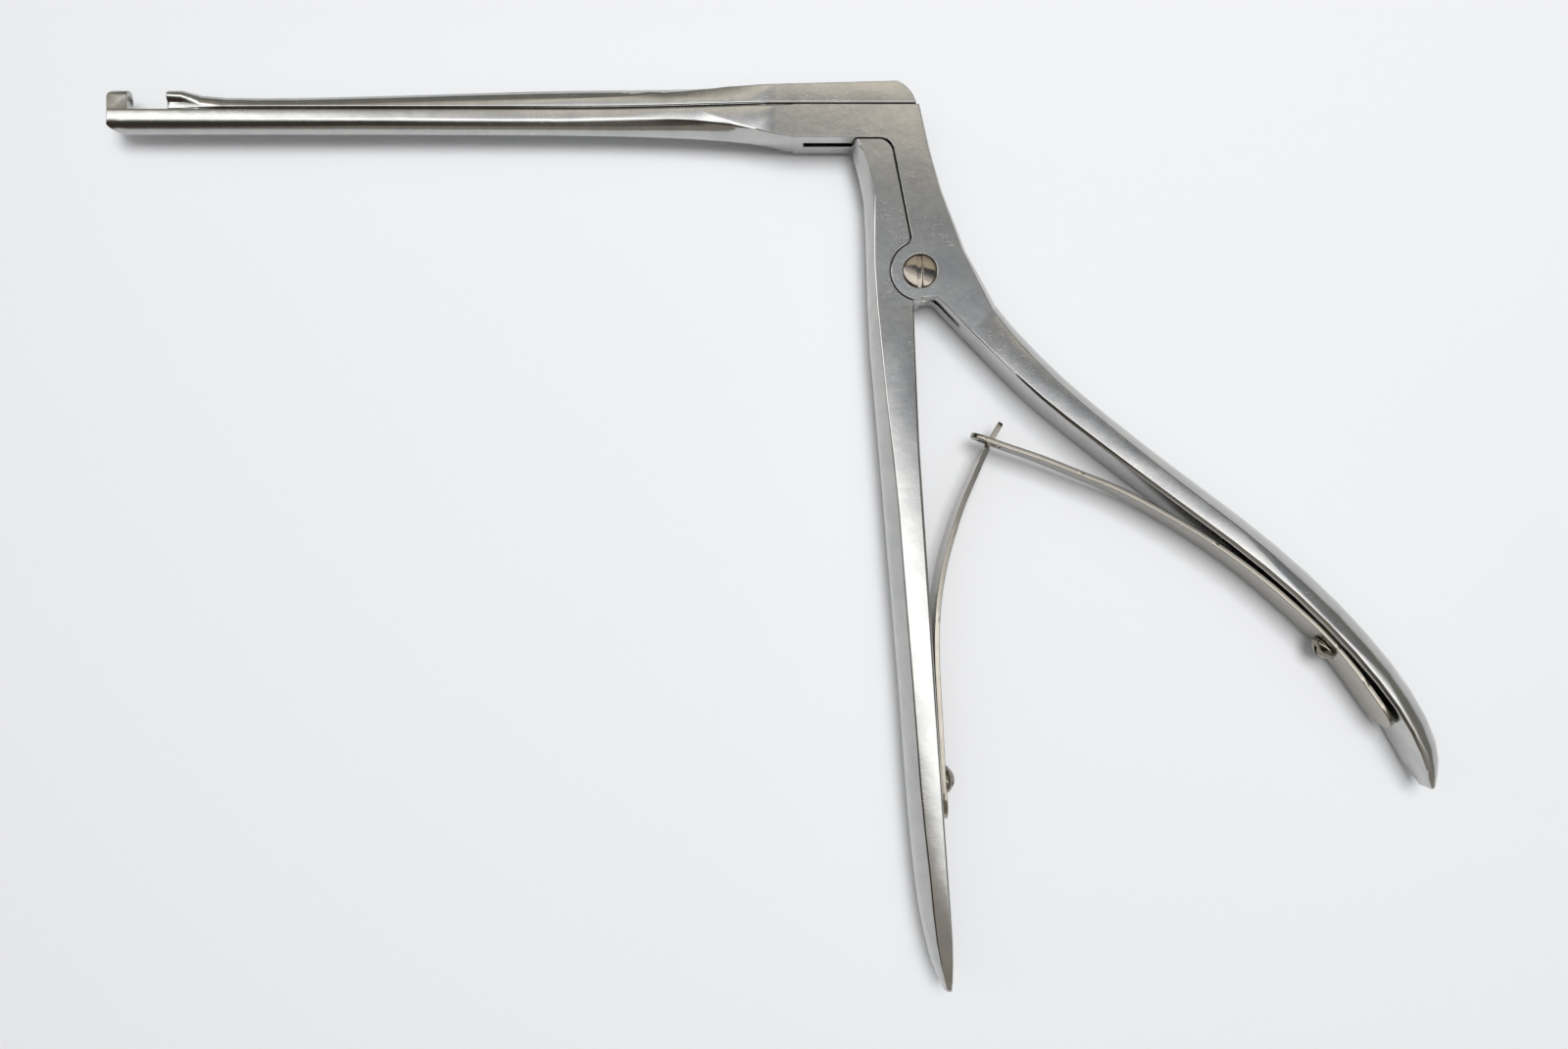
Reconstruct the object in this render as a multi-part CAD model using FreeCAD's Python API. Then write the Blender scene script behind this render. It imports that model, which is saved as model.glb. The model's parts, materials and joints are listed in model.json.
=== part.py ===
import FreeCAD, Part
import math
import os

# Antrum punch forceps, lying on its side.
# Working axes: origin on the pivot, mid-plane of the punch at z = 0, X along the bar with the
# jaw at minus X, Y across the bar with the grips at minus Y. All sizes in millimetres.

Vec = FreeCAD.Vector

# Block and bars
block_width = 9.0
seam_y = 29.0              # flat on which the slide runs
block_bottom_y = 23.13
block_front_x = -22.0      # where the square block starts to taper into the bar
block_rear_x = 0.5
bar_radius = 2.25
bar_bottom_y = 25.15
edge_chamfer = 0.25
slide_fit = 0.04           # gap between slide and bar
slide_rear_x = -0.5
slide_rear_radius = 5.5

# Box joint between the lever's head and the block
slot_width = 2.4
tongue_side_gap = 0.05
ear_radius = 5.1
ear_gap = 0.12
slant_gap = 0.25           # gap along the slanted stretch of the joint
notch_radius = 1.5
block_corner_radius = 2.6
joint_top = (-4.4, 20.5)
joint_bottom = (-1.28, 4.94)
head_reach = 20.0          # how far in front of the slot the block's outline is drawn

# Lever tongue: nose at its end, seen at rest
nose_reach = 31.1          # pivot to the centre of the nose
nose_angle = 10.2          # degrees from upright
nose_radius = 1.6
nose_gap = 0.2
neck_half = 0.85
neck_length = 4.6
disc_radius = 5.0
disc_gap = 0.4
trigger_swing = 13.5       # degrees of squeeze
tongue_rear = [(23.5, 2.2), (12.0, 3.8)]     # outline on the side of the back strap: along, across
tongue_front = [(21.5, -4.6), (24.0, -3.2)]  # outline on the side of the lever's head
tongue_heel = (-8.0, -1.3, -7.0)             # block that ties the tongue to the grip: x, x, lowest y

# Slot for the tongue behind and below the pivot
slot_rear = [
    (-0.5, 23.0), (0.8, 17.7), (2.7, 12.5), (4.4, 7.5), (5.4, 2.5), (5.4, -2.0), (5.0, -4.0),
    (7.6, -8.6), (7.2, -9.9), (0, -14.0), (-8.0, -14.0), (-8.0, 20.0),
]
slot_rear_x = 6.0
slot_step_x = -1.4
slot_floor_y = 20.0

# Keel under the slide, placed from the nose
keel_depth = 1.8
keel_ahead = 7.4
keel_behind = 4.3
flange_half = 1.85
flange_height = 0.8
flange_length = 4.0
key_gap = 0.05
end_gap = 0.3              # room left in a slot at full stroke

# Key and groove near the tip
key_front_x = -117.0
key_length = 4.0
key_neck_half = 0.65
key_neck_height = 0.7
key_head_half = 1.2
key_head_height = 0.8
window_front_x = -104.2    # wider place where the key is let in
key_window_length = 5.7

# Footplate
foot_face_x = -139.4
foot_top_y = 32.8
foot_half = 1.1
foot_top_length = 2.7
foot_profile = [           # outline ahead of the face and above the bar's underside
    (1.0, 0.0), (2.2, 0.3), (3.2, 1.15), (3.75, 3.15), (3.8, 5.15), (3.55, 6.55),
]
foot_plan_radius = 3.2
bite_gap = 0.1             # left between slide and footplate at full stroke
cup_radius = 1.05
cup_depth = 0.5
cup_rise = 1.9             # centre of the cup above the seam

# Pivot screw
screw_head_radius = 2.9
screw_head_depth = 1.6
screw_dome = 0.25
screw_shoulder_radius = 2.0
screw_thread_radius = 1.6
screw_slot_width = 0.85
screw_slot_depth = 0.9
screw_seat_gap = 0.04
screw_run_gap = 0.06

# Leaf springs and their screws
leaf_thickness = 0.9
leaf_seat_gap = 0.1
leaf_root_width = 8.6
leaf_tip_width = 5.2
leaf_tongue_width = 1.6
leaf_sections = 22
window_width = 2.3
window_length = 4.2
spring_screw_head_radius = 2.35
spring_screw_head_height = 1.9
spring_screw_rim = 0.65    # upright edge of the head below its dome
spring_screw_shank_radius = 1.3
spring_screw_depth = 3.2
spring_screw_hole_extra = 0.3
spring_screw_slot_width = 0.6
spring_screw_slot_depth = 0.7
spring_screw_gap = 0.04

lean = math.radians(nose_angle)
full_lean = math.radians(nose_angle + trigger_swing)
nose_x = -nose_reach * math.sin(lean)
slide_travel = nose_reach * (math.sin(full_lean) - math.sin(lean))
slide_tip_x = foot_face_x + slide_travel + bite_gap
keel_front_x = nose_x - keel_ahead
keel_rear_x = nose_x + keel_behind
slot_end_x = keel_front_x - slide_travel - end_gap
groove_front_x = key_front_x - slide_travel - end_gap
groove_rear_x = window_front_x + key_window_length

# Bar sections from the block to the tip: x, half width, where the side ends, lowest point
bar_stations = [
    (block_front_x, block_width / 2, block_bottom_y + 0.12, block_bottom_y),
    (-25.0, 4.49, 23.75, 23.28),
    (-29.0, 4.3, 24.75, 23.6),
    (-33.0, 3.95, 25.7, 23.92),
    (-40.0, 3.35, 26.7, 24.4),
    (-50.0, 2.65, 27.25, 24.75),
    (-60.0, 2.32, 27.5, 24.95),
    (-72.0, bar_radius, 27.5, 25.05),
    (-105.0, bar_radius, 27.4, bar_bottom_y),
    (foot_face_x, bar_radius, 27.4, bar_bottom_y),
]

# Rear end of the slide: side height and top height above the seam
slide_rear_heights = (4.05, 4.35)

# Slide sections from the block to the tip: x, half width, side height, top height above the seam
slide_stations = [
    (block_front_x, block_width / 2, 3.5, 3.85),
    (-25.0, 4.49, 3.42, 3.82),
    (-29.0, 4.3, 3.3, 3.8),
    (-33.0, 3.95, 3.1, 3.77),
    (-40.0, 3.35, 2.6, 3.75),
    (-50.0, 2.65, 1.9, 3.75),
    (-60.0, 2.32, 1.5, 3.68),
    (-76.0, bar_radius, 1.05, 3.3),
    (-93.0, bar_radius, 0.65, 2.8),
    (-112.0, bar_radius, 0.45, 2.4),
    (-119.0, 2.2, 0.45, 2.38),
    (-124.5, 1.9, 0.6, 2.6),
    (-128.0, 1.4, 0.95, 3.15),
    (-129.9, 1.2, 1.4, 3.7),
    (slide_tip_x, foot_half, 1.45, 3.7),
]

# Back strap outline from above the seam down to where the rear handle starts
strap_points = [
    (-0.2, 33.0), (block_rear_x, seam_y), (2.3, 21.2), (4.35, 14.3), (8.5, 3.85),
]
strap_crowns = [0.7, 0.75, 0.85, 0.95, 1.15]
strap_mill = 8.0           # how far the milled space reaches behind the strap
strap_overlap = 0.5

# Rear handle: inner face point, thickness, width, crown depth, chamfer beside the inner face
rear_stations = [
    (8.7, -10.3, 7.0, block_width, 1.75, 0.1),
    (12.9, -14.6, 6.55, 9.5, 2.0, 0.15),
    (19.6, -21.2, 6.4, 10.8, 2.3, 0.35),
    (29.7, -29.5, 6.05, 11.7, 2.4, 0.45),
    (41.6, -38.6, 5.9, 12.2, 2.6, 0.52),
    (53.6, -47.5, 5.85, 12.4, 2.8, 0.55),
    (65.6, -57.5, 5.75, 12.5, 3.2, 0.55),
    (75.0, -67.2, 5.75, 12.5, 3.8, 0.55),
    (82.1, -76.2, 5.6, 12.3, 3.9, 0.5),
    (86.0, -82.7, 5.1, 10.8, 3.7, 0.45),
    (88.2, -87.1, 3.9, 8.0, 2.8, 0.35),
    (90.1, -90.5, 1.5, 4.0, 0.9, 0.15),
]

# Front handle: y, outer x, inner x, width, crown depth, chamfer beside the inner face
front_stations = [
    (22.95, -11.8, -1.2, block_width, 0.8, 0.1),
    (20.0, -11.1, -1.2, block_width, 1.5, 0.1),
    (17.0, -10.3, -1.2, block_width, 1.95, 0.1),
    (13.0, -9.5, -1.2, block_width, 1.75, 0.1),
    (6.0, -9.15, -1.2, block_width, 1.2, 0.1),
    (0.0, -9.0, -1.2, block_width, 1.1, 0.1),
    (-7.0, -8.75, -1.15, 9.2, 1.4, 0.15),
    (-14.0, -8.35, -0.85, 9.9, 1.65, 0.2),
    (-24.0, -7.45, -0.5, 10.9, 1.75, 0.25),
    (-38.0, -6.25, 0.25, 11.7, 2.2, 0.3),
    (-55.0, -4.85, 1.4, 12.2, 2.1, 0.3),
    (-72.0, -3.4, 2.45, 12.5, 2.0, 0.3),
    (-90.0, -2.1, 3.65, 12.5, 2.1, 0.3),
    (-107.0, -0.45, 4.9, 12.5, 2.3, 0.3),
    (-113.0, 0.45, 5.35, 12.2, 1.9, 0.3),
    (-118.0, 1.55, 5.65, 11.0, 1.6, 0.3),
    (-122.0, 2.75, 5.8, 8.6, 1.3, 0.25),
    (-125.9, 4.5, 5.85, 4.4, 0.6, 0.15),
]
grip_top = 6               # front station from which the inner face is a free curve

bar_sections = 20
slide_sections = 20
handle_sections = 24

# Middle line of the rear leaf from the centre of its round tip: x, y, width
rear_leaf_tip = [
    (11.9, -28.95, leaf_tip_width), (15.4, -30.2, 5.5), (21.7, -32.4, 6.2), (28.1, -35.0, 6.8),
    (34.4, -37.6, 7.3), (42.8, -42.05, 7.9), (51.2, -47.3, 8.4), (59.8, -53.8, leaf_root_width),
    (66.0, -59.1, leaf_root_width),
]
rear_leaf_seat = [(-2.1, 0.02), (0.0, 0.02), (2.1, 0.02)]     # inner face x from the screw, gap to the face
rear_leaf_end = [(77.9, -73.35, leaf_root_width), (80.5, -77.9, leaf_root_width)]
rear_screw_x = 72.9
rear_window_x = 12.9

# Middle line of the front leaf from its shoulders: x, y, width
front_leaf_tip = [
    (12.0, -30.6, leaf_tip_width), (9.7, -35.7, 5.9), (7.65, -40.4, 6.5), (6.05, -45.1, 7.1),
    (4.65, -50.0, 7.6), (3.65, -55.0, 8.1), (3.05, -60.5, leaf_root_width), (2.95, -66.0, leaf_root_width),
    (3.25, -73.0, leaf_root_width),
]
front_leaf_seat = [(-80.5, 0.12), (-86.5, 0.02), (-91.7, 0.02)]   # y, gap to the face
front_tongue_tip = (14.4, -26.6)
tongue_overlap = 1.0
front_screw_y = -89.1


def prism(points, low, high):
    """Flat outline given by straight runs, from height low to height high."""
    corners = [Vec(x, y, low) for x, y in points]
    wire = Part.makePolygon(corners + [corners[0]])
    return Part.Face(wire).extrude(Vec(0, 0, high - low))


def box(x0, x1, y0, y1, z0, z1):
    return Part.makeBox(x1 - x0, y1 - y0, z1 - z0, Vec(x0, y0, z0))


def rod(radius, start, end):
    axis = end - start
    return Part.makeCylinder(radius, axis.Length, start, axis)


def spline_through(points):
    curve = Part.BSplineCurve()
    curve.interpolate([Vec(x, y, 0) for x, y in points])
    return curve


def frame_at(curve, point):
    """Point on the curve nearest to a point, and the unit normal to the left of its run."""
    at = curve.parameter(Vec(point[0], point[1], 0))
    tangent = curve.tangent(at)[0]
    return curve.value(at), Vec(-tangent.y, tangent.x, 0).normalize()


def round_side(start, end, out, rise):
    """Round line from start to end that stands out by a rise: one cubic, close to a circle's arc."""
    half = (end - start).Length / 2
    along = (end - start).normalize() * (2 * (half ** 2 - rise ** 2) / (3 * half))
    lift = out * (4 * rise / 3)
    curve = Part.BezierCurve()
    curve.setPoles([start, start + along + lift, end - along + lift, end])
    return curve.toShape()


def grip_section(base, out, thickness, width, crown, chamfer):
    """Closed section of a handle: flat inner face, chamfers, two flat sides and a round back."""
    half = width / 2
    corners = [(0, chamfer - half), (chamfer, -half), (thickness - crown, -half)]
    low = [base + out * depth + Vec(0, 0, z) for depth, z in corners]
    high = [base + out * depth - Vec(0, 0, z) for depth, z in reversed(corners)]
    back = round_side(low[2], high[0], out, crown)
    edges = [Part.makeLine(low[0], low[1]), Part.makeLine(low[1], low[2]), back]
    edges += [Part.makeLine(high[0], high[1]), Part.makeLine(high[1], high[2])]
    edges.append(Part.makeLine(high[2], low[0]))
    return Part.Wire(edges)


def bar_section(x, half, side_y, far_y, flat_y):
    """Section of a bar across X: a flat with chamfered edges, two sides and a round far side."""
    away = 1 if far_y > flat_y else -1
    chamfer_y = flat_y + away * edge_chamfer
    inner = half - edge_chamfer
    pts = [
        Vec(x, flat_y, -inner), Vec(x, chamfer_y, -half), Vec(x, side_y, -half),
        Vec(x, side_y, half), Vec(x, chamfer_y, half), Vec(x, flat_y, inner),
    ]
    edges = [Part.makeLine(pts[0], pts[1]), Part.makeLine(pts[1], pts[2])]
    edges.append(round_side(pts[2], pts[3], Vec(0, away, 0), abs(far_y - side_y)))
    edges += [Part.makeLine(pts[3], pts[4]), Part.makeLine(pts[4], pts[5])]
    edges.append(Part.makeLine(pts[5], pts[0]))
    return Part.Wire(edges)


def joint_side(grow, slant_grow, low, high):
    """The part of the block that the lever's head faces, grown outwards by its gaps."""
    run = Vec(joint_bottom[0] - joint_top[0], joint_bottom[1] - joint_top[1], 0).normalize()
    side = Vec(run.y, -run.x, 0) * slant_grow
    slope = run.x / run.y
    bottom_y = block_bottom_y - grow
    top_x = joint_top[0] + side.x + slope * (bottom_y - joint_top[1] - side.y)
    end_x = joint_top[0] + side.x + slope * (-joint_top[1] - side.y)
    front_x = slot_end_x - head_reach
    top_y = seam_y + head_reach
    rim = [(front_x, bottom_y), (top_x, bottom_y), (end_x, 0), (head_reach, 0), (head_reach, top_y), (front_x, top_y)]
    upper = prism(rim, low, high)
    corner = edge_near(upper, Vec(top_x, bottom_y, 0))
    upper = upper.makeFillet(block_corner_radius + grow, [corner])
    ear = rod(ear_radius + grow, Vec(0, 0, low), Vec(0, 0, high))
    body = upper.fuse(ear).removeSplitter()
    notch = edge_near(body, Vec(joint_bottom[0], joint_bottom[1], 0))
    return body.makeFillet(notch_radius - grow, [notch])


def edge_near(shape, spot):
    """The upright edge that passes nearest to a spot, seen along Z."""
    def distance(edge):
        middle = edge.valueAt((edge.FirstParameter + edge.LastParameter) / 2)
        return math.hypot(middle.x - spot.x, middle.y - spot.y)
    upright = [e for e in shape.Edges if abs(e.tangentAt(e.FirstParameter).z) > 0.99]
    return min(upright, key=distance)


def loft(sections):
    """Solid through closely spaced sections, straight from each to the next."""
    return Part.makeLoft(sections, True, True)


def rule(pairs):
    """Smooth rule through (place, value) pairs that never overshoots them."""
    pairs = sorted(pairs)
    places = [p[0] for p in pairs]
    values = [p[1] for p in pairs]
    steps = [b - a for a, b in zip(places, places[1:])]
    rises = [(b - a) / h for a, b, h in zip(values, values[1:], steps)]
    slopes = [rises[0]]
    for before, after in zip(rises, rises[1:]):
        level = before * after <= 0
        slopes.append(0 if level else 2 * before * after / (before + after))
    slopes.append(rises[-1])

    def value(place):
        span = 0
        while span < len(steps) - 1 and place > places[span + 1]:
            span += 1
        h = steps[span]
        t = (place - places[span]) / h
        start = values[span] * (1 + 2 * t) * (1 - t) ** 2 + slopes[span] * h * t * (1 - t) ** 2
        end = values[span + 1] * t * t * (3 - 2 * t) + slopes[span + 1] * h * t * t * (t - 1)
        return start + end

    return value


def rules(stations):
    """One rule for each column of a station list after its first."""
    return [rule([(s[0], s[i]) for s in stations]) for i in range(1, len(stations[0]))]


def eased_steps(start, end, count):
    """Places from start to end that lie closer together towards both ends."""
    return [start + (end - start) * (1 - math.cos(math.pi * i / count)) / 2 for i in range(count + 1)]


def rear_inner_curve():
    return spline_through([(s[0], s[1]) for s in rear_stations])


def rear_sections():
    """Base point, outward normal, thickness, width, crown and chamfer along the rear handle."""
    curve = rear_inner_curve()
    sizes = rules([(s[0],) + s[2:] for s in rear_stations])
    found = []
    for at in eased_steps(curve.FirstParameter, curve.LastParameter, handle_sections):
        base, out = frame_at(curve, curve.value(at))
        found.append([base, out] + [size(base.x) for size in sizes])
    return found


def rear_handle():
    return loft([grip_section(*station) for station in rear_sections()])


def strap_crown_tool():
    """What is milled off behind the back strap to leave it crowned."""
    curve = spline_through(strap_points)
    stations = [frame_at(curve, point) + (crown,) for point, crown in zip(strap_points, strap_crowns)]
    base, out, thickness, width, crown, chamfer = rear_sections()[0]
    stations.append((base + out * thickness, out, crown))
    half = Vec(0, 0, block_width / 2)
    wide = Vec(0, 0, block_width / 2 + strap_overlap)
    sections = []
    for spot, out, crown in stations:
        edge = spot - out * crown
        far = edge + out * strap_mill
        rim = [edge + half, edge + wide, far + wide, far - wide, edge - wide, edge - half]
        lines = [Part.makeLine(a, b) for a, b in zip(rim, rim[1:])]
        sections.append(Part.Wire([round_side(edge - half, edge + half, out, crown)] + lines))
    return loft(sections)


def block():
    """Square block with ears, back strap and the start of the rear handle."""
    half = block_width / 2
    base, out, thickness = rear_sections()[0][:3]
    beyond = base + out * (thickness + 4.0)
    outline = [
        (0, -4.6), (2.97, -4.5), (3.6, -5.0), (base.x, base.y), (beyond.x, beyond.y),
        (beyond.x - 4, 12.0), (block_rear_x + 4, seam_y), (0, seam_y),
    ]
    rear = prism(outline, -half, half)
    front = joint_side(0, 0, -half, half).common(box(block_front_x, 0.5, -6, seam_y, -half, half))
    return rear.fuse(front).removeSplitter().cut(strap_crown_tool())


def footplate():
    """Upturned fixed jaw: a narrow plate with a cupped face on the rounded end of the bar."""
    side = spline_through([(foot_face_x - ahead, bar_bottom_y + up) for ahead, up in foot_profile]
                          + [(foot_face_x - foot_top_length, foot_top_y)])
    top = Vec(foot_face_x, foot_top_y, 0)
    low = Vec(foot_face_x, bar_bottom_y, 0)
    start = side.value(side.FirstParameter)
    end = side.value(side.LastParameter)
    rim = Part.Wire([side.toShape(), Part.makeLine(end, top), Part.makeLine(top, low), Part.makeLine(low, start)])
    outline = Part.Face(rim).extrude(Vec(0, 0, block_width))
    outline.translate(Vec(0, 0, -block_width / 2))
    length = foot_profile[-1][0] + 1
    front_x = foot_face_x - length
    half, side_y, low_y = bar_stations[-1][1:]
    core = Part.Face(bar_section(front_x, half, side_y, low_y, seam_y)).extrude(Vec(length, 0, 0))
    core = core.fuse(box(front_x, foot_face_x, seam_y - 1, foot_top_y - foot_half, -foot_half, foot_half))
    crest = foot_top_y - foot_half
    core = core.fuse(rod(foot_half, Vec(front_x, crest, 0), Vec(foot_face_x, crest, 0)))
    plan_x = foot_face_x - foot_profile[-2][0] + foot_plan_radius
    plan = rod(foot_plan_radius, Vec(plan_x, 0, 0), Vec(plan_x, 2 * foot_top_y, 0))
    plan = plan.fuse(box(plan_x, foot_face_x + foot_plan_radius, 0, 2 * foot_top_y, -bar_radius, bar_radius))
    return outline.common(core.removeSplitter()).common(plan).cut(cup(foot_face_x, 1))


def cup(face_x, away):
    """Hollow in a cutting face; away is the side of the face that is open."""
    return Part.makeSphere(cup_radius, Vec(face_x + away * (cup_radius - cup_depth), seam_y + cup_rise, 0))


def lever_axes():
    """Directions along the tongue towards its nose, and across it, at rest."""
    return Vec(-math.sin(lean), math.cos(lean), 0), Vec(math.cos(lean), math.sin(lean), 0)


def nose_centre():
    return lever_axes()[0] * nose_reach


def tongue():
    """Thin upper arm of the lever that runs between the ears and drives the slide."""
    half = slot_width / 2 - tongue_side_gap
    along, across = lever_axes()
    neck_end = nose_reach - neck_length
    rim = [(nose_reach, neck_half), (neck_end, neck_half)] + tongue_rear
    rim += [(0.0, disc_radius), (0.0, -disc_radius)] + tongue_front
    rim += [(neck_end, -neck_half), (nose_reach, -neck_half)]
    spots = [along * u + across * v for u, v in rim]
    arm = prism([(p.x, p.y) for p in spots], -half, half)
    nose = nose_centre()
    arm = arm.fuse(rod(nose_radius, Vec(nose.x, nose.y, -half), Vec(nose.x, nose.y, half)))
    heel = box(tongue_heel[0], tongue_heel[1], tongue_heel[2], 0, -half, half)
    return arm.fuse(rod(disc_radius, Vec(0, 0, -half), Vec(0, 0, half))).fuse(heel).removeSplitter()


def tongue_slot():
    """Slot milled through the block and a little way down the rear handle."""
    half = slot_width / 2
    keel_floor = seam_y - keel_depth - key_gap * 2
    rim = [
        (slot_end_x, slot_floor_y), (slot_end_x, seam_y + 1), (slot_rear_x, seam_y + 1),
        (slot_rear_x, keel_floor), (slot_step_x, keel_floor),
    ]
    cut = prism(rim + slot_rear, -half, half)
    return cut.fuse(rod(disc_radius + disc_gap, Vec(0, 0, -half), Vec(0, 0, half)))


def keel_groove():
    """Side grooves in the slot walls for the keel's flange, open at the rear."""
    low = seam_y - keel_depth - key_gap * 2
    high = seam_y - keel_depth + flange_height + key_gap
    wide = flange_half + key_gap
    return box(slot_end_x, slot_rear_x, low, high, -wide, wide)


def key_groove():
    """T-groove in the bar near the tip, with an entry window behind it."""
    neck = key_neck_half + key_gap
    head = key_head_half + key_gap
    head_top = seam_y - key_neck_height + key_gap
    head_floor = seam_y - key_neck_height - key_head_height - key_gap
    groove = box(groove_front_x, groove_rear_x, head_floor, seam_y + 1, -neck, neck)
    groove = groove.fuse(box(groove_front_x, groove_rear_x, head_floor, head_top, -head, head))
    return groove.fuse(box(window_front_x, groove_rear_x, head_floor, seam_y + 1, -head, head))


def pivot_cut():
    """Stepped hole for the pivot screw through both ears."""
    half = block_width / 2
    gap = screw_seat_gap
    hole = rod(screw_head_radius + gap, Vec(0, 0, half - screw_head_depth - gap), Vec(0, 0, half + 2))
    hole = hole.fuse(rod(screw_shoulder_radius + gap, Vec(0, 0, -slot_width / 2), Vec(0, 0, half)))
    return hole.fuse(rod(screw_thread_radius + gap, Vec(0, 0, -half - 1), Vec(0, 0, 0)))


def pivot_screw():
    half = block_width / 2
    body = rod(screw_thread_radius, Vec(0, 0, -half), Vec(0, 0, -slot_width / 2))
    body = body.fuse(rod(screw_shoulder_radius, Vec(0, 0, -slot_width / 2), Vec(0, 0, half - screw_head_depth)))
    body = body.fuse(rod(screw_head_radius, Vec(0, 0, half - screw_head_depth), Vec(0, 0, half)))
    body = body.fuse(dome(Vec(0, 0, half), Vec(0, 0, 1), screw_head_radius, screw_dome))
    wide = screw_slot_width / 2
    return body.removeSplitter().cut(box(-wide, wide, -5, 5, half - screw_slot_depth, half + 1))


def dome(centre, axis, radius, height):
    """Shallow round cap of a screw head."""
    ball = (radius ** 2 + height ** 2) / (2 * height)
    cap = Part.makeSphere(ball, centre - axis * (ball - height))
    keep = rod(radius, centre, centre + axis * (height + 1))
    return cap.common(keep)


def screw_frames():
    """Seat point and outward direction (away from the handle) of the two spring screws."""
    curve = rear_inner_curve()
    rear_spot, out = point_at_x(curve, rear_screw_x)
    front_spot, front_out = front_inner(front_screw_y)
    return (front_spot, front_out * -1), (rear_spot, out * -1)


def point_at_x(curve, x):
    """Point and left normal of a curve where it crosses a given x."""
    low = curve.FirstParameter
    high = curve.LastParameter
    for step in range(60):
        middle = (low + high) / 2
        if curve.value(middle).x < x:
            low = middle
        else:
            high = middle
    return frame_at(curve, (curve.value(low).x, curve.value(low).y))


def front_inner(y):
    """Point on the front handle's inner face at a height, and the normal into the handle."""
    curve = spline_through([(s[2], s[0]) for s in front_stations[grip_top:]])
    low = curve.FirstParameter
    high = curve.LastParameter
    for step in range(60):
        middle = (low + high) / 2
        if curve.value(middle).y > y:
            low = middle
        else:
            high = middle
    spot, left = frame_at(curve, (curve.value(low).x, curve.value(low).y))
    return spot, left * -1


def spring_screw(seat, out):
    """Round-headed slotted screw that holds a leaf on a handle."""
    under = seat + out * (leaf_seat_gap + leaf_thickness + leaf_seat_gap)
    body = rod(spring_screw_shank_radius, seat - out * spring_screw_depth, under)
    rim = spring_screw_rim
    body = body.fuse(rod(spring_screw_head_radius, under, under + out * rim))
    cap_height = spring_screw_head_height - rim
    body = body.fuse(dome(under + out * rim, out, spring_screw_head_radius, cap_height)).removeSplitter()
    wide = spring_screw_slot_width / 2
    groove = Part.makeBox(20, spring_screw_slot_depth + 1, 2 * wide, Vec(-10, 0, -wide))
    turn = FreeCAD.Rotation(Vec(0, 1, 0), out)
    top = under + out * (spring_screw_head_height - spring_screw_slot_depth)
    groove.Placement = FreeCAD.Placement(top, turn)
    return body.cut(groove)


def spring_screw_hole(seat, out, reach):
    radius = spring_screw_shank_radius + spring_screw_gap
    return rod(radius, seat - out * (spring_screw_depth + spring_screw_hole_extra), seat + out * reach)


def leaf(points):
    """Flat spring: rectangular sections carried along its smooth middle line."""
    curve = spline_through([(x, y) for x, y, width in points])
    places = [curve.parameter(Vec(x, y, 0)) for x, y, width in points]
    width_at = rule([(place, point[2]) for place, point in zip(places, points)])
    sections = []
    for i in range(leaf_sections + 1):
        at = curve.FirstParameter + (curve.LastParameter - curve.FirstParameter) * i / leaf_sections
        spot, left = frame_at(curve, curve.value(at))
        step = left * (leaf_thickness / 2)
        rise = Vec(0, 0, width_at(at) / 2)
        ring = [spot - step - rise, spot + step - rise, spot + step + rise, spot - step + rise]
        sections.append(Part.makePolygon(ring + [ring[0]]))
    return loft(sections)


def round_end(points, end):
    """Round end of a leaf, centred on the first or last point of its middle line."""
    x, y, width = points[end]
    spot, left = frame_at(spline_through([(p[0], p[1]) for p in points]), (x, y))
    step = left * (leaf_thickness / 2)
    return rod(width / 2, spot - step, spot + step)


def rear_leaf_points():
    curve = rear_inner_curve()
    points = list(rear_leaf_tip)
    for offset, gap in rear_leaf_seat:
        spot, out = point_at_x(curve, rear_screw_x + offset)
        middle = spot - out * (leaf_seat_gap + leaf_thickness / 2 + gap)
        points.append((middle.x, middle.y, leaf_root_width))
    return points + rear_leaf_end


def front_leaf_points():
    points = list(front_leaf_tip)
    for y, gap in front_leaf_seat:
        spot, inward = front_inner(y)
        middle = spot - inward * (leaf_seat_gap + leaf_thickness / 2 + gap)
        points.append((middle.x, middle.y, leaf_root_width))
    return points


def rear_leaf_spring(seat, out):
    points = rear_leaf_points()
    body = leaf(points).fuse(round_end(points, 0)).fuse(round_end(points, -1)).removeSplitter()
    reach = window_length / 2
    window = box(
        rear_window_x - reach, rear_window_x + reach, points[0][1] - leaf_root_width,
        points[0][1] + leaf_root_width, -window_width / 2, window_width / 2)
    return body.cut(window).cut(spring_screw_hole(seat, out, 2 * leaf_thickness))


def front_leaf_spring(seat, out):
    points = front_leaf_points()
    low = Vec(points[0][0], points[0][1], 0)
    high = Vec(front_tongue_tip[0], front_tongue_tip[1], 0)
    run = (high - low).normalize()
    side = Vec(-run.y, run.x, 0) * (leaf_thickness / 2)
    start = low - run * tongue_overlap
    half = leaf_tongue_width / 2
    ring = [start - side, high - side, high + side, start + side]
    narrow = prism([(p.x, p.y) for p in ring], -half, half).fuse(rod(half, high - side, high + side))
    body = leaf(points).fuse(round_end(points, -1)).fuse(narrow).removeSplitter()
    return body.cut(spring_screw_hole(seat, out, 2 * leaf_thickness))


def frame(rear_screw):
    body = block()
    half, side, low = rules(bar_stations)
    places = eased_steps(foot_face_x, block_front_x, bar_sections)
    bar = loft([bar_section(x, half(x), side(x), low(x), seam_y) for x in places])
    for piece in (bar, footplate(), rear_handle()):
        body = body.fuse(piece)
    hole = spring_screw_hole(*rear_screw, leaf_thickness)
    for tool in (tongue_slot(), keel_groove(), key_groove(), pivot_cut(), hole):
        body = body.cut(tool)
    return body


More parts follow.
